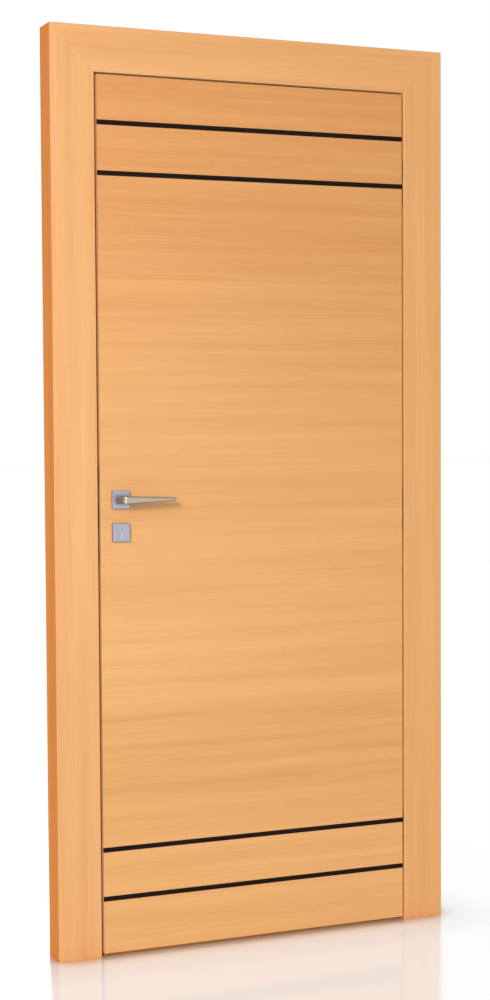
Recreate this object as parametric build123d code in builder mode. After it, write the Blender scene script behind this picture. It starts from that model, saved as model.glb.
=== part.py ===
"""Flush interior door: a veneered leaf with dark inlay strips, hung in a mitred block frame.

Millimetres. +X runs along the wall towards the hinge side, +Y runs through the wall away from the
viewer, +Z is up. The origin is on the hinge jamb's outer face, at floor level and at mid depth.
The leaf is flush with the frame's front face, is hinged on the right and opens towards -Y.
"""

import math
import os

from build123d import *

# Leaf
leaf_width = 810.0
leaf_height = 2100.0
leaf_thickness = 40.0
skin_thickness = 5.0
stile_width = 110.0
rail_height = 110.0

# Gaps around the closed leaf
hinge_gap = 5.0
head_gap = 5.0
floor_gap = 8.0
seal_gap = 5.0
swing_clearance = 5.0

# Block frame with a stop planted on its inner side, which leaves a rebate for the leaf
frame_face = 108.0
frame_depth = 78.0
stop_height = 20.0
arris_radius = 1.5

# Seal: a bulb on a stem that sits in a groove in the stop
seal_offset = 13.0
seal_bulb_width = 9.0
seal_stem_width = 3.0
seal_stem_depth = 6.0
seal_clearance = 0.4

# Inlay strips, placed from the leaf's top and bottom edges to the strips' middles
inlay_height = 12.0
inlay_depth = 3.0
inlay_recess = 0.4
inlay_pitch = 119.0
inlay_from_top = 112.0
inlay_from_bottom = 133.0

# Lock, with the follower above the key
handle_height = 1103.0
backset = 50.0
key_distance = 72.0
case_height = 165.0
case_depth = 82.0
case_thickness = 15.0
forend_height = 235.0
forend_width = 20.0
forend_thickness = 3.0
latch_height = 32.0
bolt_height = 34.0
bolt_width = 11.0
bolt_length = 30.0
bolt_projection = 1.0
latch_above_handle = 8.0
bolt_below_key = 18.0

# Lock cylinder: a round plug over a narrower web, right through the leaf
plug_radius = 8.5
web_width = 10.0
web_drop = 24.5
cylinder_projection = 1.0
keyway_width = 2.6
keyway_height = 8.0
keyway_depth = 3.0

# Strike plate in the jamb, opposite the forend
strike_width = 24.0
strike_thickness = 2.0
strike_margin = 3.0
strike_pocket_depth = 18.0

# Square roses and lever handles on one spindle
rose_size = 44.0
rose_thickness = 8.0
rose_corner = 2.0
rose_edge = 1.2
key_rose_drop = 6.5
neck_radius = 10.0
neck_clearance = 0.3
lever_reach = 48.0
lever_length = 136.0
lever_thickness = 13.0
lever_height = 20.0
lever_tip_height = 8.5
lever_bend_radius = 16.0
lever_edge = 3.5
spindle_width = 8.0
spindle_in_lever = 30.0
follower_radius = 9.0
follower_clearance = 0.3

# Concealed hinges: curved links that slide in slots about the swing axis
hinge_from_end = 220.0
hinge_height = 120.0
hinge_wall = 1.7
hinge_back_cover = 6.5
hinge_front_cover = 0.5
hinge_corner = 6.0
axis_lead = 2.5
link_thickness = 8.0
link_height = 40.0
link_clearance = 0.3
slot_spare_angle = 2.0

# Screw holes through each jamb, spread evenly above and below mid height
fixing_radius = 3.1
fixing_head_radius = 6.0
fixing_head_depth = 8.0
fixing_outer_spacing = 1400.0
fixing_inner_spacing = 600.0

# Places worked out from the sizes above
front_y = -frame_depth / 2
back_y = frame_depth / 2
leaf_back_y = front_y + leaf_thickness
leaf_mid_y = front_y + leaf_thickness / 2
stile_front_y = front_y + skin_thickness
stile_back_y = leaf_back_y - skin_thickness
stile_thickness = stile_back_y - stile_front_y
stop_y = leaf_back_y + seal_gap

leaf_right_x = -frame_face - hinge_gap
leaf_left_x = leaf_right_x - leaf_width
leaf_mid_x = leaf_right_x - leaf_width / 2
axis_x = -frame_face - hinge_gap / 2
axis_y = front_y - axis_lead
lock_edge_reach = axis_x - leaf_left_x
lock_gap = math.hypot(lock_edge_reach, leaf_back_y - axis_y) - lock_edge_reach + swing_clearance
strike_x = leaf_left_x - lock_gap
frame_left_x = strike_x - frame_face
frame_width = -frame_left_x

leaf_bottom_z = floor_gap
leaf_top_z = leaf_bottom_z + leaf_height
leaf_mid_z = leaf_bottom_z + leaf_height / 2
frame_height = leaf_top_z + head_gap + frame_face

inlay_z = {
    "top_upper": leaf_top_z - inlay_from_top,
    "top_lower": leaf_top_z - inlay_from_top - inlay_pitch,
    "bottom_upper": leaf_bottom_z + inlay_from_bottom + inlay_pitch,
    "bottom_lower": leaf_bottom_z + inlay_from_bottom,
}

handle_x = leaf_left_x + backset
key_z = handle_height - key_distance
key_rose_z = key_z - key_rose_drop
lock_z = (handle_height + key_z) / 2
latch_z = handle_height + latch_above_handle
bolt_z = key_z - bolt_below_key

housing_front_y = stile_front_y + hinge_front_cover
housing_back_y = stile_back_y - hinge_back_cover
housing_mid_y = (housing_front_y + housing_back_y) / 2
housing_width = housing_back_y - housing_front_y
link_outer = housing_back_y - hinge_wall - link_clearance - axis_y
link_inner = link_outer - link_thickness
link_front_reach = housing_front_y + hinge_wall + link_clearance - axis_y
link_end_angle = math.degrees(math.asin(link_front_reach / link_inner))
housing_reach = link_outer + link_clearance + hinge_wall
housing_depth = housing_reach - hinge_gap / 2
hinge_z = {
    "top": leaf_top_z - hinge_from_end,
    "middle": leaf_mid_z,
    "bottom": leaf_bottom_z + hinge_from_end,
}

os.makedirs("parts", exist_ok=True)


def save(piece, name):
    """Labels a finished piece and writes it to its own file."""
    piece.part.label = name
    export_step(piece.part, f"parts/{name}.step")


def facing_viewer(y):
    """Plane at depth y: local x along the wall, local y up, normal towards the viewer."""
    return Plane(origin=(0, y, 0), x_dir=(1, 0, 0), z_dir=(0, -1, 0))


def facing_right(x):
    """Plane at place x along the wall: local x through the wall, local y up, normal to the hinge side."""
    return Plane(origin=(x, 0, 0), x_dir=(0, 1, 0), z_dir=(1, 0, 0))


# Frame members: on each of these planes local x runs inwards from the frame's outer face
# and local y runs through the wall, so all three members, stops and seals share one profile each.
hinge_side = Plane(origin=(0, 0, frame_height), x_dir=(-1, 0, 0), z_dir=(0, 0, -1))
strike_side = Plane(origin=(frame_left_x, 0, 0), x_dir=(1, 0, 0), z_dir=(0, 0, 1))
head_side = Plane(origin=(frame_left_x, 0, frame_height), x_dir=(0, 0, -1), z_dir=(1, 0, 0))
hinge_mitre = Plane(origin=(0, 0, frame_height), z_dir=(1, 0, -1))
strike_mitre = Plane(origin=(frame_left_x, 0, frame_height), z_dir=(-1, 0, -1))


def jamb_profile(plane):
    """Section of the block frame, with softened arrises."""
    with BuildSketch(plane) as profile:
        with Locations((frame_face / 2, 0)):
            RectangleRounded(frame_face, frame_depth, arris_radius)
    return profile.sketch


def stop_profile(plane):
    """Section of the stop planted on the frame's inner face, with a groove for the seal."""
    stop_depth = back_y - stop_y
    with BuildSketch(plane) as profile:
        with Locations((frame_face, stop_y)):
            Rectangle(stop_height, stop_depth, align=(Align.MIN, Align.MIN))
        inner_corners = profile.vertices().group_by(Axis((0, 0, 0), (1, 0, 0)))[-1]
        fillet(inner_corners, arris_radius)
        with Locations((frame_face + seal_offset, stop_y)):
            Rectangle(
                seal_stem_width,
                seal_stem_depth,
                align=(Align.CENTER, Align.MIN),
                mode=Mode.SUBTRACT,
            )
    return profile.sketch


def seal_profile(plane):
    """Section of the seal: a stem in the stop's groove and a rounded bulb towards the leaf."""
    bulb_rise = seal_gap - seal_clearance
    with BuildSketch(plane) as profile:
        with Locations((frame_face + seal_offset, stop_y)):
            Rectangle(seal_stem_width, seal_stem_depth, align=(Align.CENTER, Align.MIN))
            Rectangle(seal_bulb_width, bulb_rise, align=(Align.CENTER, Align.MAX))
        crown = profile.vertices().group_by(Axis((0, 0, 0), (0, 1, 0)))[0]
        fillet(crown, min(bulb_rise, seal_bulb_width / 2) - seal_clearance)
    return profile.sketch


def frame_member(make_profile, plane, length, mitres):
    """One run of a frame profile, cut to its mitres."""
    with BuildPart() as member:
        extrude(make_profile(plane), amount=length, dir=plane.z_dir)
        for mitre, keep in mitres:
            split(bisect_by=mitre, keep=keep)
    return member


runs = {
    "hinge": (hinge_side, frame_height, [(hinge_mitre, Keep.TOP)]),
    "strike": (strike_side, frame_height, [(strike_mitre, Keep.TOP)]),
    "head": (head_side, frame_width, [(hinge_mitre, Keep.BOTTOM), (strike_mitre, Keep.BOTTOM)]),
}
for run_name, run in runs.items():
    save(frame_member(stop_profile, *run), f"{run_name}_stop")
    save(frame_member(seal_profile, *run), f"{run_name}_seal")
save(frame_member(jamb_profile, *runs["head"]), "frame_head")


def fixing_holes(rebate_x, outward):
    """Counterbored screw holes from the rebate through to the jamb's outer face."""
    spots = []
    for spacing in (fixing_outer_spacing, fixing_inner_spacing):
        spots += [(leaf_mid_y, leaf_mid_z - spacing / 2), (leaf_mid_y, leaf_mid_z + spacing / 2)]
    with BuildSketch(facing_right(rebate_x)) as shanks:
        with Locations(*spots):
            Circle(fixing_radius)
    extrude(shanks.sketch, amount=outward * frame_face, mode=Mode.SUBTRACT)
    with BuildSketch(facing_right(rebate_x)) as heads:
        with Locations(*spots):
            Circle(fixing_head_radius)
    extrude(heads.sketch, amount=outward * fixing_head_depth, mode=Mode.SUBTRACT)


def upright_slot(x, y, z, width, height, corner):
    """Upright rectangle with rounded corners on a plane across the wall's length."""
    with BuildSketch(facing_right(x)) as outline:
        with Locations((y, z)):
            RectangleRounded(width, height, corner)
    return outline.sketch


hinge_blank = frame_member(jamb_profile, *runs["hinge"])
with BuildPart() as hinge_jamb:
    add(hinge_blank.part)
    fixing_holes(-frame_face, 1)
    for z in hinge_z.values():
        pocket = upright_slot(-frame_face, housing_mid_y, z, housing_width, hinge_height, hinge_corner)
        extrude(pocket, amount=housing_depth, mode=Mode.SUBTRACT)
save(hinge_jamb, "hinge_jamb")

strike_slots = {
    "latch": (latch_z, latch_height + 2 * strike_margin),
    "bolt": (bolt_z, bolt_height + 2 * strike_margin),
}
strike_slot_width = bolt_width + 2 * strike_margin

strike_blank = frame_member(jamb_profile, *runs["strike"])
with BuildPart() as strike_jamb:
    add(strike_blank.part)
    fixing_holes(strike_x, -1)
    with BuildSketch(facing_right(strike_x)):
        with Locations((leaf_mid_y, lock_z)):
            Rectangle(strike_width, forend_height)
    extrude(amount=-strike_thickness, mode=Mode.SUBTRACT)
    with BuildSketch(facing_right(strike_x)):
        for slot_z, slot_height in strike_slots.values():
            with Locations((leaf_mid_y, slot_z)):
                Rectangle(strike_slot_width, slot_height)
    extrude(amount=-strike_pocket_depth, mode=Mode.SUBTRACT)
save(strike_jamb, "strike_jamb")

with BuildPart() as strike_plate:
    with BuildSketch(facing_right(strike_x)):
        with Locations((leaf_mid_y, lock_z)):
            Rectangle(strike_width, forend_height)
        for slot_z, slot_height in strike_slots.values():
            with Locations((leaf_mid_y, slot_z)):
                Rectangle(strike_slot_width, slot_height, mode=Mode.SUBTRACT)
    extrude(amount=-strike_thickness)
save(strike_plate, "strike_plate")


# Leaf: stiles, rails and core between two skins
def upright_block(x_low, x_high, z_low, z_high):
    """Block of the leaf's inner thickness."""
    with BuildPart() as block:
        with BuildSketch(Plane.XY.offset(z_low)):
            with Locations(((x_low + x_high) / 2, leaf_mid_y)):
                Rectangle(x_high - x_low, stile_thickness)
        extrude(amount=z_high - z_low)
    return block


inner_left_x = leaf_left_x + stile_width
inner_right_x = leaf_right_x - stile_width
inner_bottom_z = leaf_bottom_z + rail_height
inner_top_z = leaf_top_z - rail_height
save(upright_block(inner_left_x, inner_right_x, inner_top_z, leaf_top_z), "top_rail")
save(upright_block(inner_left_x, inner_right_x, leaf_bottom_z, inner_bottom_z), "bottom_rail")
save(upright_block(inner_left_x, inner_right_x, inner_bottom_z, inner_top_z), "leaf_core")


def cylinder_outline(plane):
    """Outline of the lock cylinder: the plug's circle over a web with a round foot."""
    foot_z = key_z - web_drop + web_width / 2
    with BuildSketch(plane) as outline:
        with Locations((handle_x, key_z)):
            Circle(plug_radius)
            Rectangle(web_width, key_z - foot_z, align=(Align.CENTER, Align.MAX))
        with Locations((handle_x, foot_z)):
            Circle(web_width / 2)
    return outline.sketch


def handle_openings(y, through):
    """Holes through a layer of the leaf for the spindle's follower and the lock cylinder."""
    with BuildSketch(facing_viewer(y)) as follower_hole:
        with Locations((handle_x, handle_height)):
            Circle(follower_radius + follower_clearance)
    extrude(follower_hole.sketch, amount=-through, mode=Mode.SUBTRACT)
    extrude(cylinder_outline(facing_viewer(y)), amount=-through, mode=Mode.SUBTRACT)


lock_blank = upright_block(leaf_left_x, inner_left_x, leaf_bottom_z, leaf_top_z)
with BuildPart() as lock_stile:
    add(lock_blank.part)
    with BuildSketch(facing_right(leaf_left_x)):
        with Locations((leaf_mid_y, lock_z)):
            Rectangle(forend_width, forend_height)
    extrude(amount=forend_thickness, mode=Mode.SUBTRACT)
    with BuildSketch(facing_right(leaf_left_x)):
        with Locations((leaf_mid_y, lock_z)):
            Rectangle(case_thickness, case_height)
    extrude(amount=case_depth, mode=Mode.SUBTRACT)
    handle_openings(stile_front_y, stile_thickness)
save(lock_stile, "lock_stile")

stile_blank = upright_block(inner_right_x, leaf_right_x, leaf_bottom_z, leaf_top_z)
with BuildPart() as hinge_stile:
    add(stile_blank.part)
    for z in hinge_z.values():
        pocket = upright_slot(leaf_right_x, housing_mid_y, z, housing_width, hinge_height, hinge_corner)
        extrude(pocket, amount=-housing_depth, mode=Mode.SUBTRACT)
save(hinge_stile, "hinge_stile")


def leaf_skin(name, outer_y, inward):
    """One face of the leaf, grooved for its inlay strips; inward is +1 where the core lies towards +Y."""
    with BuildPart() as skin:
        with BuildSketch(facing_viewer(outer_y)):
            with Locations((leaf_mid_x, leaf_mid_z)):
                Rectangle(leaf_width, leaf_height)
        extrude(amount=-inward * skin_thickness)
        with BuildSketch(facing_viewer(outer_y)):
            for z in inlay_z.values():
                with Locations((leaf_mid_x, z)):
                    Rectangle(leaf_width, inlay_height)
        extrude(amount=-inward * inlay_depth, mode=Mode.SUBTRACT)
        handle_openings(outer_y, inward * skin_thickness)
    save(skin, name)


def inlay_strip(name, outer_y, inward, z):
    """One dark strip, bedded in its groove across the leaf's whole width."""
    with BuildPart() as strip:
        with BuildSketch(facing_viewer(outer_y + inward * inlay_recess)):
            with Locations((leaf_mid_x, z)):
                Rectangle(leaf_width, inlay_height)
        extrude(amount=-inward * (inlay_depth - inlay_recess))
    save(strip, name)


def square_rose(outer_y, inward):
    """Square cover plate standing on the leaf's face, with softened edges."""
    with BuildSketch(facing_viewer(outer_y)) as outline:
        with Locations((handle_x, 0)):
            RectangleRounded(rose_size, rose_size, rose_corner)
    with BuildPart() as rose:
        extrude(outline.sketch, amount=inward * rose_thickness)
        rim = rose.faces().sort_by(Axis.Y)[0 if inward > 0 else -1]
        fillet(rim.edges(), rose_edge)
    return rose


def lever_handle(name, outer_y, inward):
    """Lever on a round neck; the arm turns the corner and tapers towards its tip."""
    rose_face_y = outer_y - inward * rose_thickness
    arm_back_y = outer_y - inward * (lever_reach - lever_thickness)
    arm_front_y = outer_y - inward * lever_reach
    neck_start_y = outer_y - inward * neck_clearance
    neck_left_x = handle_x - neck_radius
    neck_right_x = handle_x + neck_radius
    tip_x = neck_left_x + lever_length
    arm_start_y = rose_face_y - inward * neck_clearance
    with BuildPart() as lever:
        with BuildSketch(Plane.XY.offset(handle_height - lever_height / 2)) as plan:
            with BuildLine():
                Polyline(
                    (neck_left_x, arm_start_y),
                    (neck_left_x, arm_front_y),
                    (tip_x, arm_front_y),
                    (tip_x, arm_back_y),
                    (neck_right_x, arm_back_y),
                    (neck_right_x, arm_start_y),
                    close=True,
                )
            make_face()
            bend = plan.vertices().sort_by_distance((neck_left_x, arm_front_y, 0))[0]
            fillet(bend, lever_bend_radius)
        extrude(amount=lever_height)
        with BuildSketch(facing_viewer(arm_front_y)):
            with BuildLine():
                Polyline(
                    (neck_left_x, handle_height - lever_height / 2),
                    (tip_x, handle_height - lever_tip_height / 2),
                    (tip_x, handle_height + lever_tip_height / 2),
                    (neck_left_x, handle_height + lever_height / 2),
                    close=True,
                )
            make_face()
        extrude(amount=-inward * lever_reach, mode=Mode.INTERSECT)
        by_height = lever.faces().sort_by(Axis.Z)
        fillet([*by_height[0].edges(), *by_height[-1].edges()], lever_edge)
        with BuildSketch(facing_viewer(neck_start_y)):
            with Locations((handle_x, handle_height)):
                Circle(neck_radius)
        extrude(amount=inward * (rose_thickness + lever_edge))
        with BuildSketch(facing_viewer(neck_start_y)):
            with Locations((handle_x, handle_height)):
                Rectangle(spindle_width, spindle_width)
        extrude(amount=inward * spindle_in_lever, mode=Mode.SUBTRACT)
    save(lever, name)


for side, outer_y, inward in (("front", front_y, 1), ("back", leaf_back_y, -1)):
    leaf_skin(f"{side}_skin", outer_y, inward)
    for place, z in inlay_z.items():
        inlay_strip(f"{side}_inlay_{place}", outer_y, inward, z)

    rose_blank = square_rose(outer_y, inward).part
    with BuildPart() as handle_rose:
        add(rose_blank.moved(Location((0, 0, handle_height))))
        with BuildSketch(facing_viewer(outer_y)):
            with Locations((handle_x, handle_height)):
                Circle(neck_radius + neck_clearance)
        extrude(amount=inward * rose_thickness, mode=Mode.SUBTRACT)
    save(handle_rose, f"{side}_handle_rose")

    with BuildPart() as key_rose:
        add(rose_blank.moved(Location((0, 0, key_rose_z))))
        cylinder_hole = cylinder_outline(facing_viewer(outer_y))
        extrude(cylinder_hole, amount=inward * rose_thickness, mode=Mode.SUBTRACT)
    save(key_rose, f"{side}_key_rose")

    lever_handle(f"{side}_lever", outer_y, inward)

with BuildPart() as spindle:
    bar_half = leaf_thickness / 2 + spindle_in_lever - neck_clearance
    with BuildSketch(facing_viewer(leaf_mid_y)):
        with Locations((handle_x, handle_height)):
            Rectangle(spindle_width, spindle_width)
    extrude(amount=bar_half, both=True)
    with BuildSketch(facing_viewer(leaf_mid_y)):
        with Locations((handle_x, handle_height)):
            Circle(follower_radius)
    extrude(amount=case_thickness / 2, both=True)
save(spindle, "spindle_and_follower")


# Lock: a case and forend in one piece, with two bolts drawn back almost flush
bolts = {"latch_bolt": (latch_z, latch_height), "dead_bolt": (bolt_z, bolt_height)}

with BuildPart() as mortise_lock:
    with BuildSketch(facing_right(leaf_left_x)):
        with Locations((leaf_mid_y, lock_z)):
            Rectangle(forend_width, forend_height)
    extrude(amount=forend_thickness)
    with BuildSketch(facing_right(leaf_left_x + forend_thickness)):
        with Locations((leaf_mid_y, lock_z)):
            Rectangle(case_thickness, case_height)
    extrude(amount=case_depth - forend_thickness)
    handle_openings(stile_front_y, stile_thickness)
    with BuildSketch(facing_right(leaf_left_x)):
        for bolt_centre_z, height in bolts.values():
            with Locations((leaf_mid_y, bolt_centre_z)):
                Rectangle(bolt_width, height)
    extrude(amount=bolt_length, mode=Mode.SUBTRACT)
save(mortise_lock, "mortise_lock")

for bolt_name, (bolt_centre_z, height) in bolts.items():
    with BuildPart() as bolt:
        with BuildSketch(facing_right(leaf_left_x - bolt_projection)):
            with Locations((leaf_mid_y, bolt_centre_z)):
                Rectangle(bolt_width, height)
        extrude(amount=bolt_length + bolt_projection)
    save(bolt, bolt_name)


with BuildPart() as lock_cylinder:
    cylinder_half = leaf_thickness / 2 + rose_thickness + cylinder_projection
    extrude(cylinder_outline(facing_viewer(leaf_mid_y)), amount=cylinder_half, both=True)
    for end in (-1, 1):
        with BuildSketch(facing_viewer(leaf_mid_y + end * cylinder_half)):
            with Locations((handle_x, key_z)):
                Rectangle(keyway_width, keyway_height)
        extrude(amount=end * keyway_depth, mode=Mode.SUBTRACT)
save(lock_cylinder, "lock_cylinder")


# Hinges: a housing in the jamb, its mirror image in the leaf, and a curved link between them
def ring_sector(z, inner, outer, start_angle, end_angle, height):
    """Part of a ring about the swing axis, at mid height z."""
    sweep_angle = end_angle - start_angle
    with BuildPart() as ring:
        with BuildSketch(Plane.XY.offset(z - height / 2)):
            with BuildLine():
                axis_point = (axis_x, axis_y)
                outer_arc = CenterArc(axis_point, outer, start_angle, sweep_angle)
                inner_arc = CenterArc(axis_point, inner, start_angle, sweep_angle)
                Line(outer_arc @ 0, inner_arc @ 0)
                Line(outer_arc @ 1, inner_arc @ 1)
            make_face()
        extrude(amount=height)
    return ring


def hinge_housing(name, z, edge_x, outward):
    """Housing let into an edge at edge_x, with a slot that holds the link."""
    slot_start = link_end_angle - slot_spare_angle
    slot_inner = link_inner - link_clearance
    slot_outer = link_outer + link_clearance
    slot_height = link_height + 2 * link_clearance
    slot = ring_sector(z, slot_inner, slot_outer, slot_start, 180 - slot_start, slot_height)
    outline = upright_slot(edge_x, housing_mid_y, z, housing_width, hinge_height, hinge_corner)
    with BuildPart() as housing:
        extrude(outline, amount=outward * housing_depth)
        add(slot.part, mode=Mode.SUBTRACT)
    save(housing, name)


for place, z in hinge_z.items():
    hinge_housing(f"{place}_hinge_jamb_housing", z, -frame_face, 1)
    hinge_housing(f"{place}_hinge_leaf_housing", z, leaf_right_x, -1)
    link = ring_sector(z, link_inner, link_outer, link_end_angle, 180 - link_end_angle, link_height)
    save(link, f"{place}_hinge_link")

print("frame width", round(frame_width, 2), "height", frame_height, "lock gap", round(lock_gap, 2))
print("swing axis", round(axis_x, 2), round(axis_y, 2), "link end angle", round(link_end_angle, 2))
print("spindle", round(handle_x, 2), handle_height, "strike face", round(strike_x, 2))
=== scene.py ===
"""Looks for the flush interior door: beech veneer, dark inlays, satin nickel handles and a white studio.

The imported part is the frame. Its pieces keep their places and get their finishes here, the screws of the
hinges, lock and strike plate are added, and a white studio is set up with the camera to the door's left.
Lengths are in metres unless a name or a unit says otherwise.
"""

import math

import bpy
from mathutils import Matrix, Vector


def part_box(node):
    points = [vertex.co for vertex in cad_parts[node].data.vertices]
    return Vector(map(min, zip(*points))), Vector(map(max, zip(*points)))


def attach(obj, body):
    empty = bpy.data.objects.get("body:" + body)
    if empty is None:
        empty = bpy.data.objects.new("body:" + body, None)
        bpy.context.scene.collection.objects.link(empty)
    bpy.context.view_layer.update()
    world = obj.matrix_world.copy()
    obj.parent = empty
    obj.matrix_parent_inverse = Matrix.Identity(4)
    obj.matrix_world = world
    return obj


bl_info = {
    "name": "Flush interior door",
    "version": (1, 0, 0),
    "blender": (4, 5, 0),
    "location": "3D View > Sidebar > Door",
    "description": "Finishes, screws and studio for a veneered door in its block frame",
    "category": "Object",
}

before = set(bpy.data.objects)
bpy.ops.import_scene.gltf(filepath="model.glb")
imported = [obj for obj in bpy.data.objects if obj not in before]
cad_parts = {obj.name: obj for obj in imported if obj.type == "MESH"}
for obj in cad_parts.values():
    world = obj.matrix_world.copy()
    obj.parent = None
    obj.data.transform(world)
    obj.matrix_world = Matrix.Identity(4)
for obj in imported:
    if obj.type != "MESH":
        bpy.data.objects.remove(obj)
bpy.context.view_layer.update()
MM = 0.001
X, Y, Z = 0, 1, 2
WHITE = (1, 1, 1, 1)

# Nodes of the part, by finish
UPRIGHTS = ("strike_jamb", "hinge_jamb", "strike_stop", "hinge_stop")
HEADS = ("frame_head", "head_stop")
SKINS = ("front_skin", "back_skin")
STILES = ("lock_stile", "hinge_stile")
RAILS = ("top_rail", "bottom_rail")
SEALS = ("strike_seal", "hinge_seal", "head_seal")
INLAY_PLACES = ("top_upper", "top_lower", "bottom_upper", "bottom_lower")
INLAYS = tuple(f"{side}_inlay_{place}" for side in ("front", "back") for place in INLAY_PLACES)
LEVERS = ("front_lever", "back_lever")
ROSES = tuple(f"{side}_{use}_rose" for side in ("front", "back") for use in ("handle", "key"))
LOCK_PIECES = ("mortise_lock", "latch_bolt", "dead_bolt", "strike_plate", "spindle_and_follower")
HINGE_PLACES = ("top", "middle", "bottom")
JAMB_HOUSINGS = tuple(f"{place}_hinge_jamb_housing" for place in HINGE_PLACES)
LEAF_HOUSINGS = tuple(f"{place}_hinge_leaf_housing" for place in HINGE_PLACES)
LINKS = tuple(f"{place}_hinge_link" for place in HINGE_PLACES)

# An outer side: how far a face may lie inside the node's outermost point, and how squarely it faces out
SIDE_TOLERANCE = 2 * MM
FACING_OUT = 0.5

# Beech: shares in the figure, the figure's values of the deepest and palest tone, and the ray flecks
SHEET_SHIFT = 4.0
SHEET_SHARE = 0.16
LINE_SHARE = 0.42
BEECH_SPAN = (0.28, 0.72)
FLECK_SIZE = (16 * MM, 2.2 * MM)
FLECK_FADE = (0.10, 0.26)
FLECK_SHARE = 0.22

# Wenge: length and width of its lines, and the values of the deepest and palest tone
WENGE_LINE = (240 * MM, 1.6 * MM)
WENGE_SPAN = (0.35, 0.72)

# Chipboard, seal and metals
CHIP_SIZE = 4 * MM
SEAL_MOTTLE = 6 * MM
SEAL_BLOOM = 1.25
BRUSH_LENGTH = 60 * MM
ZINC_GRAIN = 2 * MM
SCREW_GRAIN = 1.5 * MM
PLATING_LOW = 0.86
LINE_GLOSS = (-0.05, 0.07)

# Values between which most of a noise lies
NOISE_SPAN = (0.3, 0.7)

# Screw heads: radius of the face over the rim's, length of the recess over the rim's radius, and the
# middle of the recess over the head's rise
FACE_SHARE = 0.9
RECESS_SPAN = 1.15
RECESS_LIFT = 0.75

# Floor: distance that floor_glow is for, and the free share of the room over a spot where the gap under
# the leaf ends, at the foot of a wall, and where the shade of the foot ends
GLOW_REACH = 0.2
GAP_FREE, FOOT_FREE, LIT_FREE = 0.3, 0.5, 0.95
FLOOR_HALF = 40.0


def linear(hex_colour):
    """Linear RGBA of an sRGB colour written as #RRGGBB."""
    channels = [int(hex_colour[i : i + 2], 16) / 255 for i in (1, 3, 5)]
    straight = [c / 12.92 if c <= 0.04045 else ((c + 0.055) / 1.055) ** 2.4 for c in channels]
    return (*straight, 1.0)


def colour_prop(name, description, hex_colour):
    """Colour setting whose default is an sRGB hex value."""
    return bpy.props.FloatVectorProperty(
        name=name,
        description=description,
        subtype="COLOR",
        size=4,
        min=0,
        max=1,
        default=linear(hex_colour),
    )


def length_prop(name, description, millimetres):
    """Length setting whose default is given in millimetres."""
    return bpy.props.FloatProperty(
        name=name, description=description, subtype="DISTANCE", unit="LENGTH", default=millimetres * MM
    )


def angle_prop(name, description, degrees):
    """Angle setting whose default is given in degrees."""
    return bpy.props.FloatProperty(
        name=name, description=description, subtype="ANGLE", default=math.radians(degrees)
    )


class DoorVeneerSettings(bpy.types.PropertyGroup):
    """Colours and grain of the wood."""

    leaf_light: colour_prop("Light leaf grain", "Palest tone of the leaf's beech veneer", "#F3BC78")
    leaf_dark: colour_prop("Dark leaf grain", "Deepest tone of the leaf's beech veneer", "#DE9F59")
    # Painted reflection: this tint deepens the leaf's veneer upwards, so its foot looks lit by the white
    # floor's sheen
    painted_sheen_fade: colour_prop("Head tint", "What deepens the leaf's veneer towards its head", "#F1DFCB")
    frame_light: colour_prop("Light frame grain", "Palest tone of the frame's beech veneer", "#F1B577")
    frame_dark: colour_prop("Dark frame grain", "Deepest tone of the frame's beech veneer", "#DF9B57")
    # Painted shade: the frame's outer sides get a deeper, more orange copy of its veneer, as if turned from
    # the lights
    shaded_edge_light: colour_prop("Light edge", "Palest tone of the frame's oiled outer edges", "#F09C56")
    shaded_edge_dark: colour_prop("Dark edge", "Deepest tone of the frame's oiled outer edges", "#DC8846")
    lipping_light: colour_prop("Light lipping", "Palest tone of the leaf's natural beech edges", "#FAE0B8")
    lipping_dark: colour_prop("Dark lipping", "Deepest tone of the leaf's natural beech edges", "#EFCB9A")
    fleck: colour_prop("Fleck", "Short dark dashes of beech's rays", "#B87440")
    inlay_light: colour_prop("Light inlay", "Paler lines of the wenge strips", "#2C1C14")
    inlay_dark: colour_prop("Dark inlay", "Darker lines of the wenge strips", "#0E0806")
    core_light: colour_prop("Light chip", "Paler chips of the leaf's core", "#C9A878")
    core_dark: colour_prop("Dark chip", "Darker chips of the leaf's core", "#9C7A50")
    grain_width: length_prop("Grain width", "Distance between the fine grain lines", 2.6)
    grain_length: length_prop("Grain length", "Length of one fine grain line", 320)
    streak_width: length_prop("Streak width", "Height of the soft bands in the figure", 34)
    streak_length: length_prop("Streak length", "Length of the soft bands in the figure", 1300)
    sheet_width: length_prop("Sheet width", "Width of one sheet of veneer on the leaf", 148)
    sheet_seed: bpy.props.IntProperty(
        name="Sheet seed", description="Which run of paler and deeper sheets the leaf gets", default=840
    )


class DoorMetalSettings(bpy.types.PropertyGroup):
    """Colours of the metals and the seal, and sizes of the screws."""

    # Partly satin nickel, partly a painted reflection of the wood: the levers' metal is warmer and darker
    # than the roses'
    lever_nickel_and_painted_reflection: colour_prop("Lever nickel", "Satin nickel of the levers", "#988F80")
    rose_nickel: colour_prop("Rose nickel", "Satin nickel of the roses", "#9090A0")
    steel: colour_prop("Nickel plated steel", "Lock, strike plate and screws", "#8E8E96")
    zinc: colour_prop("Chromed zinc", "Hinge housings and links", "#A6A6AA")
    seal: colour_prop("Seal", "Soft brown seal in the stops", "#B98C5C")
    brush_width: length_prop("Brush width", "Distance between brushing lines on the handles", 0.9)
    screw_radius: length_prop("Screw head radius", "Radius of a countersunk head", 4.2)
    screw_rise: length_prop("Screw head rise", "How far a head stands proud of its plate", 0.35)
    screw_inset: length_prop("Screw inset", "From a plate's end to the middle of its screw", 12)
    slot_width: length_prop("Cross slot width", "Width of the cross recess in a head", 1.1)


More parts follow.
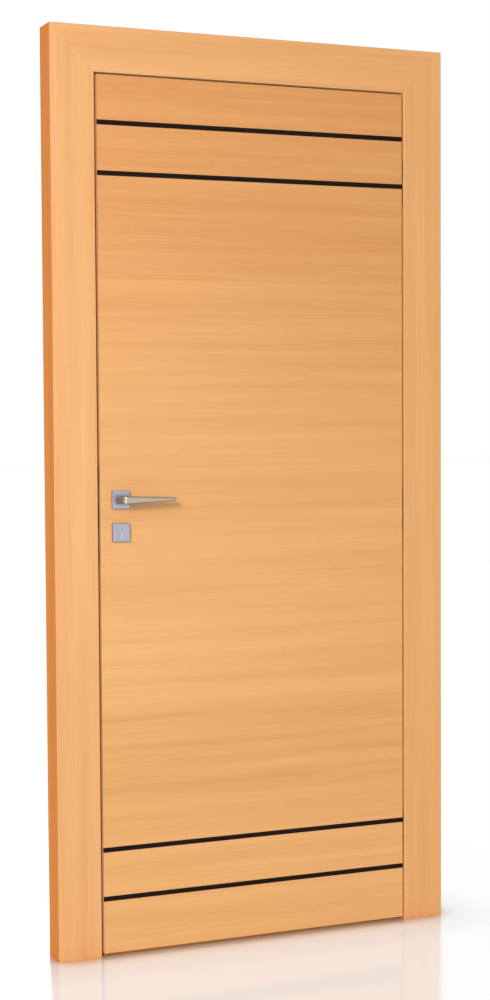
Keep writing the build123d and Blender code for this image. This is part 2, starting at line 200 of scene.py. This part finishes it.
class DoorStageSettings(bpy.types.PropertyGroup):
    """Studio: floor and camera."""

    floor: colour_prop("Floor", "White studio floor", "#EEEEEE")
    # Painted shade: the floor at the door's foot and under the leaf takes this warm, deeper colour
    painted_foot_shade: colour_prop("Foot tint", "Floor right at the door's foot, warmed by the wood", "#D6AE86")
    foot_shade: length_prop("Foot shade", "How far the shade at the door's foot reaches", 80)
    foot_glow: bpy.props.FloatProperty(
        name="Foot glow", description="Share of plain white in the floor beside the door", default=0.5
    )
    floor_glow: bpy.props.FloatProperty(
        name="Floor glow", description="Share of plain white in the floor 20 cm from the door", default=0.93
    )
    floor_ior: bpy.props.FloatProperty(
        name="Floor IOR", description="How strongly the polished floor mirrors at a low angle", default=3.4
    )
    camera_place: bpy.props.FloatVectorProperty(
        name="Camera place",
        description="Where the camera stands",
        subtype="TRANSLATION",
        unit="LENGTH",
        default=(-2.3292, -4.2256, 1.3188),
    )
    camera_turn: angle_prop("Camera turn", "Turn to the right from looking straight at the wall", 23.039)
    camera_dip: angle_prop("Camera dip", "Tilt below the horizon", 2.827)
    camera_roll: angle_prop("Camera roll", "Turn about the line of sight", 0.322)
    focal_share: bpy.props.FloatProperty(
        name="Focal share", description="Focal length over the height of the sensor", default=1.8519
    )


def add_node(tree, kind, inputs=None, **settings):
    """Adds a node, sets it up, and links or fills its inputs; returns the node."""
    made = tree.nodes.new(kind)
    for key, value in settings.items():
        setattr(made, key, value)
    for key, value in (inputs or {}).items():
        if isinstance(value, bpy.types.NodeSocket):
            tree.links.new(value, made.inputs[key])
        else:
            made.inputs[key].default_value = value
    return made


def new_material(name):
    """Empty node material; returns it with its tree."""
    material = bpy.data.materials.new(name)
    material.use_nodes = True
    material.node_tree.nodes.clear()
    return material, material.node_tree


def close_material(tree, shader):
    """Connects a shader to the material's output."""
    add_node(tree, "ShaderNodeOutputMaterial", {"Surface": shader.outputs["BSDF"]})


def dress(material, *nodes):
    """Gives CAD nodes one material."""
    for name in nodes:
        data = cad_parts[name].data
        data.materials.clear()
        data.materials.append(material)


def dress_outer_side(node, axis, side, material):
    """Gives the faces on one outer side of a CAD node a finish of their own; side is 1 or -1."""
    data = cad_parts[node].data
    data.materials.append(material)
    low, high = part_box(node)
    limit = high[axis] if side > 0 else low[axis]
    for face in data.polygons:
        faces_out = face.normal[axis] * side > FACING_OUT
        if faces_out and abs(face.center[axis] - limit) < SIDE_TOLERANCE:
            face.material_index = len(data.materials) - 1


def grain_scale(along, length, width):
    """Mapping scale that stretches a pattern to a length along one axis and a width across it."""
    return tuple(1 / length if axis == along else 1 / width for axis in "XYZ")


def beech(name, along, wood, tones, sheets=False, lacquer=1.0):
    """Beech, sliced and satin lacquered: straight fine grain, short ray flecks and soft bands of tone.

    The tones are the palest and the deepest. The lacquer lays a broad, pale sheen over a warm colour; edges
    without lacquer have next to none, and the deeper tones given to the frame's outer sides are painted
    shade. In sheets, each sheet has a tone and a place in the figure of its own, and the colour deepens
    towards the leaf's head: a painted reflection of the white floor, which leaves the foot paler. Flecks
    are drawn longer than real ones to show.
    """
    light, dark = tones
    material, tree = new_material(name)
    place = add_node(tree, "ShaderNodeTexCoord").outputs["Object"]

    if sheets:
        split = add_node(tree, "ShaderNodeSeparateXYZ", {"Vector": place})
        sheet_count = add_node(
            tree, "ShaderNodeMath", {0: split.outputs["Z"], 1: wood.sheet_width}, operation="DIVIDE"
        )
        sheet = add_node(tree, "ShaderNodeMath", {0: sheet_count.outputs["Value"]}, operation="FLOOR")
        number = add_node(
            tree, "ShaderNodeMath", {0: sheet.outputs["Value"], 1: wood.sheet_seed}, operation="ADD"
        )
        sheet_tone = add_node(
            tree, "ShaderNodeTexWhiteNoise", {"W": number.outputs["Value"]}, noise_dimensions="1D"
        )
        # Height up the leaf, for the painted floor reflection that deepens the veneer towards the head
        low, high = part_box(SKINS[0])
        height = add_node(
            tree,
            "ShaderNodeMapRange",
            {"Value": split.outputs["Z"], "From Min": low[Z], "From Max": high[Z]},
        )
        shift = add_node(
            tree,
            "ShaderNodeVectorMath",
            {0: sheet_tone.outputs["Color"], 1: (SHEET_SHIFT, 0, 0)},
            operation="MULTIPLY",
        )
        moved = add_node(
            tree, "ShaderNodeVectorMath", {0: place, 1: shift.outputs["Vector"]}, operation="ADD"
        )
        place = moved.outputs["Vector"]

    sizes = {
        "streaks": (wood.streak_length, wood.streak_width),
        "lines": (wood.grain_length, wood.grain_width),
        "flecks": FLECK_SIZE,
    }
    stretched = {}
    for pattern, size in sizes.items():
        mapping = add_node(
            tree, "ShaderNodeMapping", {"Vector": place, "Scale": grain_scale(along, *size)}
        )
        stretched[pattern] = mapping.outputs["Vector"]
    streaks = add_node(
        tree,
        "ShaderNodeTexNoise",
        {
            "Vector": stretched["streaks"],
            "Scale": 1.0,
            "Detail": 3.0,
            "Roughness": 0.55,
            "Distortion": 0.35,
        },
    )
    lines = add_node(
        tree,
        "ShaderNodeTexNoise",
        {
            "Vector": stretched["lines"],
            "Scale": 1.0,
            "Detail": 2.5,
            "Roughness": 0.6,
            "Distortion": 0.2,
        },
    )
    dashes = add_node(
        tree, "ShaderNodeTexVoronoi", {"Vector": stretched["flecks"], "Scale": 1.0, "Randomness": 1.0}
    )

    figure = add_node(
        tree,
        "ShaderNodeMix",
        {"Factor": LINE_SHARE, "A": streaks.outputs["Fac"], "B": lines.outputs["Fac"]},
        data_type="FLOAT",
    )
    tone = figure.outputs["Result"]
    if sheets:
        tone = add_node(
            tree,
            "ShaderNodeMix",
            {"Factor": SHEET_SHARE, "A": tone, "B": sheet_tone.outputs["Value"]},
            data_type="FLOAT",
        ).outputs["Result"]
    ramp = add_node(tree, "ShaderNodeValToRGB", {"Fac": tone})
    for element, position, colour in zip(ramp.color_ramp.elements, BEECH_SPAN, (dark, light)):
        element.position = position
        element.color = colour

    fleck_mask = add_node(
        tree,
        "ShaderNodeMapRange",
        {
            "Value": dashes.outputs["Distance"],
            "From Min": FLECK_FADE[0],
            "From Max": FLECK_FADE[1],
            "To Min": FLECK_SHARE,
            "To Max": 0.0,
        },
    )
    flecked = add_node(
        tree,
        "ShaderNodeMix",
        {"Factor": fleck_mask.outputs["Result"], "A": ramp.outputs["Color"], "B": tuple(wood.fleck)},
        data_type="RGBA",
    )
    colour = flecked.outputs["Result"]
    # Painted reflection: the veneer is deepened towards the head, so the foot keeps the white floor's sheen
    if sheets:
        colour = add_node(
            tree,
            "ShaderNodeMix",
            {"Factor": height.outputs["Result"], "A": colour, "B": tuple(wood.painted_sheen_fade)},
            data_type="RGBA",
            blend_type="MULTIPLY",
        ).outputs["Result"]
    gloss = add_node(
        tree,
        "ShaderNodeMapRange",
        {
            "Value": lines.outputs["Fac"],
            "From Min": NOISE_SPAN[0],
            "From Max": NOISE_SPAN[1],
            "To Min": 0.44,
            "To Max": 0.34,
        },
    )
    relief = add_node(
        tree, "ShaderNodeBump", {"Strength": 0.12, "Distance": 0.2 * MM, "Height": lines.outputs["Fac"]}
    )
    shader = add_node(
        tree,
        "ShaderNodeBsdfPrincipled",
        {
            "Base Color": colour,
            "Roughness": gloss.outputs["Result"],
            "Normal": relief.outputs["Normal"],
            "IOR": 1.5,
            "Specular IOR Level": 0.45 * lacquer,
            "Coat Weight": 0.25 * lacquer,
            "Coat Roughness": 0.28,
        },
    )
    close_material(tree, shader)
    return material


def wenge(wood):
    """Wenge strip, sliced and satin lacquered: near black with fine, straight, paler lines along it."""
    material, tree = new_material("wenge strip")
    place = add_node(tree, "ShaderNodeTexCoord").outputs["Object"]
    stretched = add_node(
        tree, "ShaderNodeMapping", {"Vector": place, "Scale": grain_scale("X", *WENGE_LINE)}
    )
    lines = add_node(
        tree,
        "ShaderNodeTexNoise",
        {"Vector": stretched.outputs["Vector"], "Scale": 1.0, "Detail": 3.0, "Roughness": 0.6},
    )
    ramp = add_node(tree, "ShaderNodeValToRGB", {"Fac": lines.outputs["Fac"]})
    tones = (wood.inlay_dark, wood.inlay_light)
    for element, position, colour in zip(ramp.color_ramp.elements, WENGE_SPAN, tones):
        element.position = position
        element.color = colour
    relief = add_node(
        tree, "ShaderNodeBump", {"Strength": 0.15, "Distance": 0.2 * MM, "Height": lines.outputs["Fac"]}
    )
    shader = add_node(
        tree,
        "ShaderNodeBsdfPrincipled",
        {
            "Base Color": ramp.outputs["Color"],
            "Roughness": 0.42,
            "Normal": relief.outputs["Normal"],
            "IOR": 1.5,
            "Specular IOR Level": 0.06,
        },
    )
    close_material(tree, shader)
    return material


def chipboard(wood):
    """Raw chipboard: pressed chips a few millimetres long, dull and mottled."""
    material, tree = new_material("raw chipboard")
    place = add_node(tree, "ShaderNodeTexCoord").outputs["Object"]
    chips = add_node(
        tree, "ShaderNodeTexVoronoi", {"Vector": place, "Scale": 1 / CHIP_SIZE, "Randomness": 1.0}
    )
    mottled = add_node(tree, "ShaderNodeSeparateColor", {"Color": chips.outputs["Color"]})
    colour = add_node(
        tree,
        "ShaderNodeMix",
        {"Factor": mottled.outputs["Red"], "A": tuple(wood.core_light), "B": tuple(wood.core_dark)},
        data_type="RGBA",
    )
    shader = add_node(
        tree, "ShaderNodeBsdfPrincipled", {"Base Color": colour.outputs["Result"], "Roughness": 0.85}
    )
    close_material(tree, shader)
    return material


def brushed_metal(name, colour, line_scale, roughness, line_depth):
    """Plated metal with fine lines: a soft grey shine that streaks along the lines.

    The colour varies a little with the plating, and the roughness follows the lines.
    """
    material, tree = new_material(name)
    place = add_node(tree, "ShaderNodeTexCoord").outputs["Object"]
    stretched = add_node(tree, "ShaderNodeMapping", {"Vector": place, "Scale": line_scale})
    lines = add_node(
        tree,
        "ShaderNodeTexNoise",
        {"Vector": stretched.outputs["Vector"], "Scale": 1.0, "Detail": 4.0, "Roughness": 0.6},
    )
    low = tuple(c * PLATING_LOW for c in colour[:3]) + (1.0,)
    tint = add_node(
        tree,
        "ShaderNodeMix",
        {"Factor": lines.outputs["Fac"], "A": low, "B": tuple(colour)},
        data_type="RGBA",
    )
    gloss = add_node(
        tree,
        "ShaderNodeMapRange",
        {
            "Value": lines.outputs["Fac"],
            "From Min": NOISE_SPAN[0],
            "From Max": NOISE_SPAN[1],
            "To Min": roughness + LINE_GLOSS[0],
            "To Max": roughness + LINE_GLOSS[1],
        },
    )
    relief = add_node(
        tree, "ShaderNodeBump", {"Strength": 0.2, "Distance": line_depth, "Height": lines.outputs["Fac"]}
    )
    shader = add_node(
        tree,
        "ShaderNodeBsdfPrincipled",
        {
            "Base Color": tint.outputs["Result"],
            "Metallic": 1.0,
            "Roughness": gloss.outputs["Result"],
            "Normal": relief.outputs["Normal"],
        },
    )
    close_material(tree, shader)
    return material


def seal_rubber(metal):
    """Extruded soft rubber: dull brown, mottled by a trace of bloom."""
    material, tree = new_material("soft rubber seal")
    place = add_node(tree, "ShaderNodeTexCoord").outputs["Object"]
    mottle = add_node(
        tree,
        "ShaderNodeTexNoise",
        {"Vector": place, "Scale": 1 / SEAL_MOTTLE, "Detail": 3.0, "Roughness": 0.6},
    )
    pale = tuple(c * SEAL_BLOOM for c in metal.seal[:3]) + (1.0,)
    colour = add_node(
        tree,
        "ShaderNodeMix",
        {"Factor": mottle.outputs["Fac"], "A": tuple(metal.seal), "B": pale},
        data_type="RGBA",
    )
    shader = add_node(
        tree,
        "ShaderNodeBsdfPrincipled",
        {"Base Color": colour.outputs["Result"], "Roughness": 0.65, "IOR": 1.5},
    )
    close_material(tree, shader)
    return material


class DOOR_OT_frame(bpy.types.Operator):
    """Veneers the jambs, head and stops, with the grain along each member"""

    bl_idname = "door.frame"
    bl_label = "Finish the frame"

    def execute(self, context):
        wood = context.scene.door_veneer
        veneered = (wood.frame_light, wood.frame_dark)
        shaded = (wood.shaded_edge_light, wood.shaded_edge_dark)
        natural = (wood.lipping_light, wood.lipping_dark)
        dress(beech("beech veneer upright", "Z", wood, veneered), *UPRIGHTS)
        dress(beech("beech veneer level", "X", wood, veneered), *HEADS)
        # Painted shade: the outer sides of the jambs and the head's top take the deeper tones, and have no
        # lacquer sheen
        upright_edge = beech("oiled beech edge upright", "Z", wood, shaded, lacquer=0.0)
        level_edge = beech("oiled beech edge level", "X", wood, shaded, lacquer=0.0)
        dress_outer_side("strike_jamb", X, -1, upright_edge)
        dress_outer_side("hinge_jamb", X, 1, upright_edge)
        dress_outer_side("frame_head", Z, 1, level_edge)
        # Painted light: the head's underside over the gap takes the pale lipping tones, to lighten the shade
        # in the head gap
        dress_outer_side("frame_head", Z, -1, beech("beech rebate with painted light", "X", wood, natural))
        dress(seal_rubber(context.scene.door_metal), *SEALS)
        return {"FINISHED"}


class DOOR_OT_leaf(bpy.types.Operator):
    """Veneers the leaf with level grain, and finishes its edges, core and inlay strips"""

    bl_idname = "door.leaf"
    bl_label = "Finish the leaf"

    def execute(self, context):
        wood = context.scene.door_veneer
        veneered = (wood.leaf_light, wood.leaf_dark)
        natural = (wood.lipping_light, wood.lipping_dark)
        dress(beech("beech veneer sheets", "X", wood, veneered, sheets=True), *SKINS)
        dress(beech("natural beech lipping upright", "Z", wood, natural), *STILES)
        dress(beech("natural beech lipping level", "X", wood, natural), *RAILS)
        dress(chipboard(wood), "leaf_core")
        dress(wenge(wood), *INLAYS)
        return {"FINISHED"}


class DOOR_OT_hardware(bpy.types.Operator):
    """Finishes the levers, roses, lock and hinges"""

    bl_idname = "door.hardware"
    bl_label = "Finish the hardware"

    def execute(self, context):
        metal = context.scene.door_metal
        level_lines = grain_scale("X", BRUSH_LENGTH, metal.brush_width)
        upright_lines = grain_scale("Z", BRUSH_LENGTH, metal.brush_width)
        # The levers' warmer, darker tone is satin nickel with a painted reflection of the wood
        lever = brushed_metal(
            "satin nickel lever with painted reflection", metal.lever_nickel_and_painted_reflection, level_lines, roughness=0.34, line_depth=0.05 * MM
        )
        rose = brushed_metal(
            "satin nickel rose", metal.rose_nickel, upright_lines, roughness=0.34, line_depth=0.05 * MM
        )
        steel = brushed_metal(
            "nickel plated steel", metal.steel, upright_lines, roughness=0.28, line_depth=0.03 * MM
        )
        zinc_lines = grain_scale("X", ZINC_GRAIN, ZINC_GRAIN)
        zinc = brushed_metal(
            "satin chromed zinc", metal.zinc, zinc_lines, roughness=0.4, line_depth=0.05 * MM
        )
        dress(lever, *LEVERS)
        dress(rose, *ROSES)
        dress(steel, "lock_cylinder", *LOCK_PIECES)
        dress(zinc, *JAMB_HOUSINGS, *LEAF_HOUSINGS, *LINKS)
        return {"FINISHED"}


def screw_tree(material):
    """Geometry nodes: a countersunk head with a cross recess on every point, turned to face its way."""
    tree = bpy.data.node_groups.new("countersunk screws", "GeometryNodeTree")
    face = tree.interface
    face.new_socket("Geometry", in_out="INPUT", socket_type="NodeSocketGeometry")
    for name in ("Head radius", "Head rise", "Slot width"):
        face.new_socket(name, in_out="INPUT", socket_type="NodeSocketFloat")
    face.new_socket("Geometry", in_out="OUTPUT", socket_type="NodeSocketGeometry")
    given = add_node(tree, "NodeGroupInput").outputs
    radius, rise, slot = given["Head radius"], given["Head rise"], given["Slot width"]

    factors = {"face": (radius, FACE_SHARE), "span": (radius, RECESS_SPAN), "lift": (rise, RECESS_LIFT)}
    sized = {}
    for name, (size, factor) in factors.items():
        scaled = add_node(tree, "ShaderNodeMath", {0: size, 1: factor}, operation="MULTIPLY")
        sized[name] = scaled.outputs["Value"]
    head = add_node(
        tree,
        "GeometryNodeMeshCone",
        {"Vertices": 28, "Radius Bottom": radius, "Radius Top": sized["face"], "Depth": rise},
    )
    cut = add_node(
        tree,
        "GeometryNodeMeshBoolean",
        {"Mesh 1": head.outputs["Mesh"]},
        operation="DIFFERENCE",
        solver="EXACT",
    )
    lift = add_node(tree, "ShaderNodeCombineXYZ", {"Z": sized["lift"]})
    for along, across in ("XY", "YX"):
        size = add_node(tree, "ShaderNodeCombineXYZ", {along: sized["span"], across: slot, "Z": rise})
        bar = add_node(tree, "GeometryNodeMeshCube", {"Size": size.outputs["Vector"]})
        raised = add_node(
            tree,
            "GeometryNodeTransform",
            {"Geometry": bar.outputs["Mesh"], "Translation": lift.outputs["Vector"]},
        )
        tree.links.new(raised.outputs["Geometry"], cut.inputs["Mesh 2"])
    facing = add_node(tree, "GeometryNodeInputNamedAttribute", {"Name": "facing"}, data_type="FLOAT_VECTOR")
    turn = add_node(
        tree, "FunctionNodeAlignRotationToVector", {"Vector": facing.outputs["Attribute"]}, axis="Z"
    )
    heads = add_node(
        tree,
        "GeometryNodeInstanceOnPoints",
        {
            "Points": given["Geometry"],
            "Instance": cut.outputs["Mesh"],
            "Rotation": turn.outputs["Rotation"],
        },
    )
    real = add_node(tree, "GeometryNodeRealizeInstances", {"Geometry": heads.outputs["Instances"]})
    painted = add_node(
        tree, "GeometryNodeSetMaterial", {"Geometry": real.outputs["Geometry"], "Material": material}
    )
    add_node(tree, "NodeGroupOutput", {"Geometry": painted.outputs["Geometry"]})
    return tree


def plate_screws(node, facing, inset):
    """Two screw places on an upright plate's face: near its top and near its foot, facing along X."""
    low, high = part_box(node)
    face_x = high[X] if facing > 0 else low[X]
    middle_y = (low[Y] + high[Y]) / 2
    return [((face_x, middle_y, z), (facing, 0, 0)) for z in (low[Z] + inset, high[Z] - inset)]


class DOOR_OT_screws(bpy.types.Operator):
    """Adds the countersunk screws of the hinges, the lock and the strike plate"""

    bl_idname = "door.screws"
    bl_label = "Add the screws"

    def execute(self, context):
        metal = context.scene.door_metal
        lines = grain_scale("X", SCREW_GRAIN, SCREW_GRAIN)
        tree = screw_tree(
            brushed_metal("nickel plated screw", metal.steel, lines, roughness=0.25, line_depth=0.02 * MM)
        )
        sizes = {
            "Head radius": metal.screw_radius,
            "Head rise": metal.screw_rise,
            "Slot width": metal.slot_width,
        }
        plates = {
            "frame": [(name, -1) for name in JAMB_HOUSINGS] + [("strike_plate", 1)],
            "leaf": [(name, 1) for name in LEAF_HOUSINGS] + [("mortise_lock", -1)],
        }
        for body, faces in plates.items():
            places = []
            for name, facing in faces:
                places += plate_screws(name, facing, metal.screw_inset)
            points = bpy.data.meshes.new(f"{body}_screw_points")
            points.from_pydata([place for place, _ in places], [], [])
            ways = points.attributes.new("facing", "FLOAT_VECTOR", "POINT")
            ways.data.foreach_set("vector", [value for _, way in places for value in way])
            maker = bpy.data.objects.new(f"{body}_screw_maker", points)
            context.scene.collection.objects.link(maker)
            modifier = maker.modifiers.new("screws", "NODES")
            modifier.node_group = tree
            for item in tree.interface.items_tree:
                if item.in_out == "INPUT" and item.name in sizes:
                    modifier[item.identifier] = sizes[item.name]
            ready = maker.evaluated_get(context.evaluated_depsgraph_get())
            mesh = bpy.data.meshes.new_from_object(ready)
            if not mesh.polygons:
                raise RuntimeError(f"no screws were made for the {body}")
            maker.modifiers.remove(modifier)
            bpy.data.objects.remove(maker)
            screws = bpy.data.objects.new(f"{body}_screws", mesh)
            context.scene.collection.objects.link(screws)
            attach(screws, body)
        return {"FINISHED"}


def seen_directly(tree):
    """1 for what the camera sees, itself or in glossy and clear surfaces; 0 for light that only falls."""
    rays = add_node(tree, "ShaderNodeLightPath").outputs
    seen = add_node(
        tree, "ShaderNodeMath", {0: rays["Is Camera Ray"], 1: rays["Is Glossy Ray"]}, operation="MAXIMUM"
    )
    return add_node(
        tree,
        "ShaderNodeMath",
        {0: seen.outputs["Value"], 1: rays["Is Transmission Ray"]},
        operation="MAXIMUM",
    ).outputs["Value"]


def studio_floor(stage, low, high):
    """Gloss white studio floor: almost white, with a faint mirror image and a soft shade at the door's foot.

    Further from the door the floor turns to plain white, as a lit backdrop does. The shade at the door's
    foot is partly real and partly painted: where the door closes in the floor, it takes a warm, deeper
    colour. In the gap under the leaf it is neither white nor a mirror, only that painted shade.
    """
    material, tree = new_material("gloss white studio floor")
    place = add_node(tree, "ShaderNodeTexCoord").outputs["Object"]
    seen = seen_directly(tree)

    # How far a spot lies outside the door's footprint, and how white the floor is there
    middle, half = (low + high) / 2, (high - low) / 2
    centred = add_node(
        tree, "ShaderNodeVectorMath", {0: place, 1: (middle.x, middle.y, low.z)}, operation="SUBTRACT"
    )
    folded = add_node(tree, "ShaderNodeVectorMath", {0: centred.outputs["Vector"]}, operation="ABSOLUTE")
    past = add_node(
        tree,
        "ShaderNodeVectorMath",
        {0: folded.outputs["Vector"], 1: (half.x, half.y, 0)},
        operation="SUBTRACT",
    )
    outside = add_node(
        tree, "ShaderNodeVectorMath", {0: past.outputs["Vector"], 1: (0, 0, 0)}, operation="MAXIMUM"
    )
    away = add_node(tree, "ShaderNodeVectorMath", {0: outside.outputs["Vector"]}, operation="LENGTH")
    whiteness = add_node(tree, "ShaderNodeValToRGB", {"Fac": away.outputs["Value"]})
    steps = whiteness.color_ramp.elements
    steps[0].color = (*[stage.foot_glow] * 3, 1)
    steps.new(GLOW_REACH).color = (*[stage.floor_glow] * 3, 1)
    steps[-1].color = WHITE

    # Share of the room over a spot that no piece closes in, and what follows for light and mirror image
    free = add_node(tree, "ShaderNodeAmbientOcclusion", {"Distance": stage.foot_shade}, samples=16)
    lit = add_node(
        tree,
        "ShaderNodeMapRange",
        {"Value": free.outputs["AO"], "From Min": FOOT_FREE, "From Max": LIT_FREE},
    )
    bare = add_node(
        tree,
        "ShaderNodeMapRange",
        {"Value": free.outputs["AO"], "From Min": GAP_FREE, "From Max": FOOT_FREE},
    )

    lit_white = add_node(
        tree,
        "ShaderNodeMath",
        {0: whiteness.outputs["Color"], 1: lit.outputs["Result"]},
        operation="MULTIPLY",
    )
    glow = add_node(tree, "ShaderNodeMath", {0: lit_white.outputs["Value"], 1: seen}, operation="MULTIPLY")
    # Painted shade: where the door closes in the floor, its colour turns to the foot colour, for shade and
    # the wood's warm bounce
    colour = add_node(
        tree,
        "ShaderNodeMix",
        {"Factor": lit.outputs["Result"], "A": tuple(stage.painted_foot_shade), "B": tuple(stage.floor)},
        data_type="RGBA",
    )
    matt = add_node(tree, "ShaderNodeBsdfDiffuse", {"Color": colour.outputs["Result"]})
    white = add_node(tree, "ShaderNodeEmission", {"Color": WHITE, "Strength": 1.0})
    base = add_node(
        tree,
        "ShaderNodeMixShader",
        {"Fac": glow.outputs["Value"], 1: matt.outputs["BSDF"], 2: white.outputs["Emission"]},
    )

    fresnel = add_node(tree, "ShaderNodeFresnel", {"IOR": stage.floor_ior})
    bare_sheen = add_node(
        tree,
        "ShaderNodeMath",
        {0: fresnel.outputs["Fac"], 1: bare.outputs["Result"]},
        operation="MULTIPLY",
    )
    sheen = add_node(tree, "ShaderNodeMath", {0: bare_sheen.outputs["Value"], 1: seen}, operation="MULTIPLY")
    mirror = add_node(tree, "ShaderNodeBsdfGlossy", {"Color": WHITE, "Roughness": 0.14})
    polished = add_node(
        tree,
        "ShaderNodeMixShader",
        {"Fac": sheen.outputs["Value"], 1: base.outputs["Shader"], 2: mirror.outputs["BSDF"]},
    )
    add_node(tree, "ShaderNodeOutputMaterial", {"Surface": polished.outputs["Shader"]})
    return material


def area_light(name, place, aim, size, radiance):
    """Rectangular soft light; power follows from the brightness of its surface."""
    light = bpy.data.lights.new(name, "AREA")
    light.shape = "RECTANGLE"
    light.size, light.size_y = size
    light.energy = radiance * math.pi * size[0] * size[1]
    lamp = bpy.data.objects.new(name, light)
    lamp.location = place
    lamp.rotation_euler = (Vector(aim) - Vector(place)).to_track_quat("-Z", "Y").to_euler()
    lamp.visible_camera = False
    bpy.context.scene.collection.objects.link(lamp)
    return lamp


def studio_lights(scene):
    """Soft lights around the door."""
    # Distant key from the upper left, even over the door's height, which throws the lever's soft shadow
    sun = bpy.data.lights.new("key", "SUN")
    sun.energy = 1.45
    sun.angle = math.radians(9)
    key = bpy.data.objects.new("key", sun)
    key.rotation_euler = Vector((0.65, 1.0, -0.38)).to_track_quat("-Z", "Y").to_euler()
    scene.collection.objects.link(key)
    # Tall soft box on the lock side, so the veneer is palest at the left
    area_light("side box", place=(-2.6, -2.3, 2.0), aim=(-1.0, 0, 1.1), size=(1.2, 2.0), radiance=4.6)
    # Card that lays a pale sheen on the lacquer of the lock side
    card = area_light("sheen card", place=(0.3, -4.3, 1.2), aim=(-0.9, 0, 1.1), size=(1.0, 3.0), radiance=2.2)
    card.visible_diffuse = False
    # Fills for the back and the hinge side, so the other views read as well
    area_light("back fill", place=(-0.5, 3.2, 1.8), aim=(-0.5, 0, 1.1), size=(2.4, 2.4), radiance=2.6)
    area_light("hinge side fill", place=(2.6, 0.6, 1.3), aim=(0, 0, 1.1), size=(1.6, 2.2), radiance=1.6)


def studio_world():
    """World that looks plain white and gives a low, even light."""
    world = bpy.data.worlds.new("white studio")
    world.use_nodes = True
    tree = world.node_tree
    tree.nodes.clear()
    strength = add_node(
        tree, "ShaderNodeMapRange", {"Value": seen_directly(tree), "To Min": 0.3, "To Max": 1.0}
    )
    sky = add_node(
        tree, "ShaderNodeBackground", {"Color": WHITE, "Strength": strength.outputs["Result"]}
    )
    add_node(tree, "ShaderNodeOutputWorld", {"Surface": sky.outputs["Background"]})
    return world


def studio_camera(scene, stage):
    """Camera to the left of the door, turned, dipped and rolled as the settings say."""
    turn, dip, roll = stage.camera_turn, stage.camera_dip, stage.camera_roll
    ahead = Vector((math.sin(turn) * math.cos(dip), math.cos(turn) * math.cos(dip), -math.sin(dip)))
    right = Vector((math.cos(turn), -math.sin(turn), 0))
    down = ahead.cross(right)
    rolled_right = math.cos(roll) * right + math.sin(roll) * down
    rolled_down = math.cos(roll) * down - math.sin(roll) * right
    lens = bpy.data.cameras.new("camera")
    lens.sensor_fit = "VERTICAL"
    lens.lens = stage.focal_share * lens.sensor_height
    camera = bpy.data.objects.new("camera", lens)
    turned = Matrix((rolled_right, -rolled_down, -ahead)).transposed()
    camera.matrix_world = Matrix.Translation(stage.camera_place) @ turned.to_4x4()
    scene.collection.objects.link(camera)
    return camera


class DOOR_OT_stage(bpy.types.Operator):
    """Sets up the white floor, the soft lights and the camera"""

    bl_idname = "door.stage"
    bl_label = "Set the stage"

    def execute(self, context):
        scene = context.scene
        stage = scene.door_stage
        low, high = Vector(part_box("strike_jamb")[0]), Vector(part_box("hinge_jamb")[1])
        mesh = bpy.data.meshes.new("studio_floor")
        corners = [(-FLOOR_HALF, -FLOOR_HALF), (FLOOR_HALF, -FLOOR_HALF)]
        corners += [(FLOOR_HALF, FLOOR_HALF), (-FLOOR_HALF, FLOOR_HALF)]
        mesh.from_pydata([(x, y, low.z) for x, y in corners], [], [(0, 1, 2, 3)])
        mesh.materials.append(studio_floor(stage, low, high))
        floor = bpy.data.objects.new("studio_floor", mesh)
        scene.collection.objects.link(floor)
        studio_lights(scene)
        scene.world = studio_world()
        scene.camera = studio_camera(scene, stage)
        scene.view_settings.view_transform = "Standard"
        return {"FINISHED"}


OPERATORS = (DOOR_OT_frame, DOOR_OT_leaf, DOOR_OT_hardware, DOOR_OT_screws, DOOR_OT_stage)


class DOOR_PT_panel(bpy.types.Panel):
    """Lists the steps that finish the door"""

    bl_label = "Door"
    bl_idname = "DOOR_PT_panel"
    bl_space_type = "VIEW_3D"
    bl_region_type = "UI"
    bl_category = "Door"

    def draw(self, context):
        for operator in OPERATORS:
            self.layout.operator(operator.bl_idname)


SETTINGS = {
    "door_veneer": DoorVeneerSettings,
    "door_metal": DoorMetalSettings,
    "door_stage": DoorStageSettings,
}


def register():
    """Registers the settings, the operators and the panel."""
    for name, group in SETTINGS.items():
        bpy.utils.register_class(group)
        setattr(bpy.types.Scene, name, bpy.props.PointerProperty(type=group))
    for operator in OPERATORS:
        bpy.utils.register_class(operator)
    bpy.utils.register_class(DOOR_PT_panel)


def unregister():
    """Takes away what register added."""
    bpy.utils.unregister_class(DOOR_PT_panel)
    for operator in reversed(OPERATORS):
        bpy.utils.unregister_class(operator)
    for name, group in SETTINGS.items():
        delattr(bpy.types.Scene, name)
        bpy.utils.unregister_class(group)


def main():
    """Finishes the door piece by piece."""
    register()
    bpy.ops.door.frame()
    bpy.ops.door.leaf()
    bpy.ops.door.hardware()
    bpy.ops.door.screws()
    bpy.ops.door.stage()


if __name__ == "__main__":
    main()
